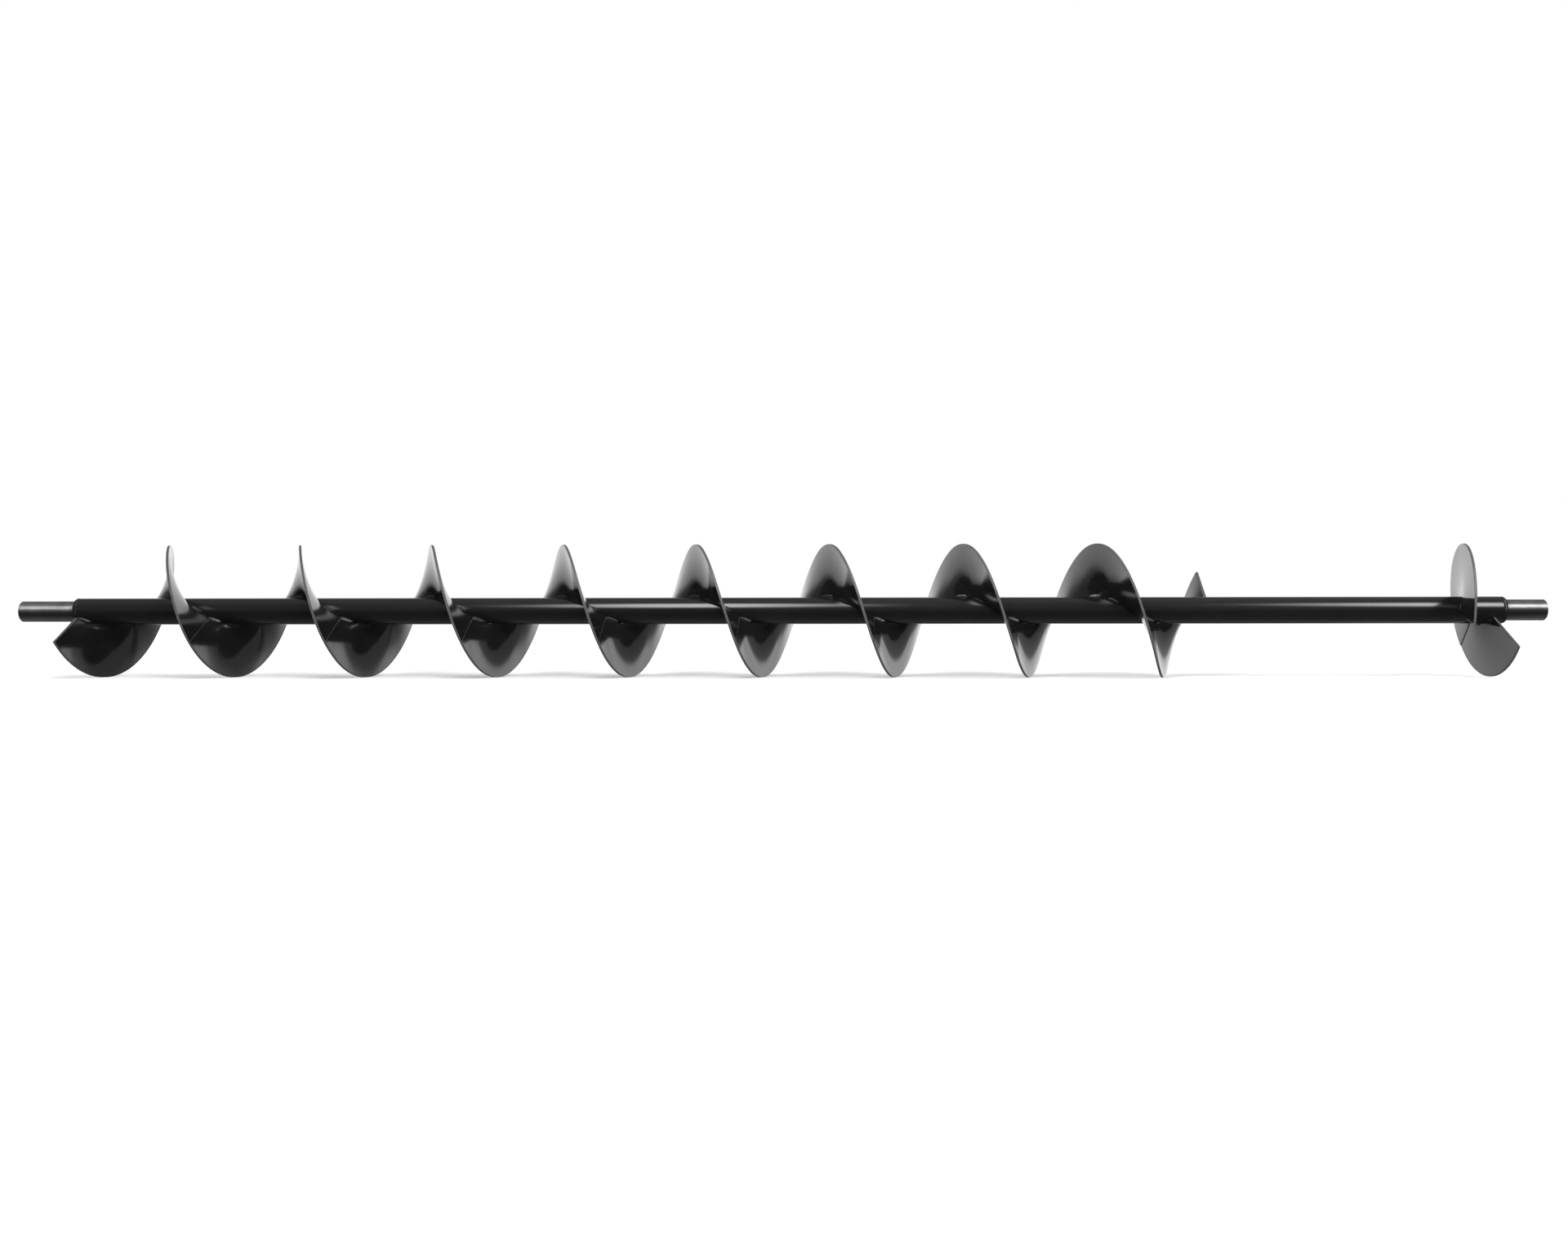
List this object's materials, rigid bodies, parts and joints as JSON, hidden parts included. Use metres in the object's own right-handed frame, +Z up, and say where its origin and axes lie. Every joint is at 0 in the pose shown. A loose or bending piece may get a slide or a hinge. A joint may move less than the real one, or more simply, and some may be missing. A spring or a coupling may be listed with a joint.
{
  "type": "screw conveyor auger",
  "caption": "Screw conveyor auger: tube shaft with right-hand helical flighting, a short left-hand counter flight near one end and a turned bearing journal at each end.",
  "frame": {"origin": "on the shaft's axis, half way along the overall length", "axes": "+X along the shaft, from the end where the main flighting starts to the end with the counter flight; +Z up, with a flat of the flight rims below"},
  "size_m": [1.83, 0.1598, 0.1597],
  "materials": {
    "black_paint": "gloss black enamel on the steel tube",
    "flight_paint": "gloss black enamel on pressed sheet, slightly uneven",
    "weld_paint": "gloss black enamel over rippled weld beads",
    "turned_steel": "bright turned steel with fine lathe rings"
  },
  "bodies": {
    "root": {"centre_tube": "black_paint", "left_journal": "turned_steel", "right_journal": "turned_steel", "left_end_weld": "weld_paint", "right_end_weld": "weld_paint", "flight_1": "flight_paint", "flight_2": "flight_paint", "flight_3": "flight_paint", "flight_4": "flight_paint", "flight_5": "flight_paint", "flight_6": "flight_paint", "flight_7": "flight_paint", "flight_8": "flight_paint", "flight_9": "flight_paint", "counter_flight_inner": "flight_paint", "counter_flight_outer": "flight_paint", "flight_stitch_welds": "weld_paint", "counter_stitch_welds": "weld_paint"}
  },
  "joints": []
}
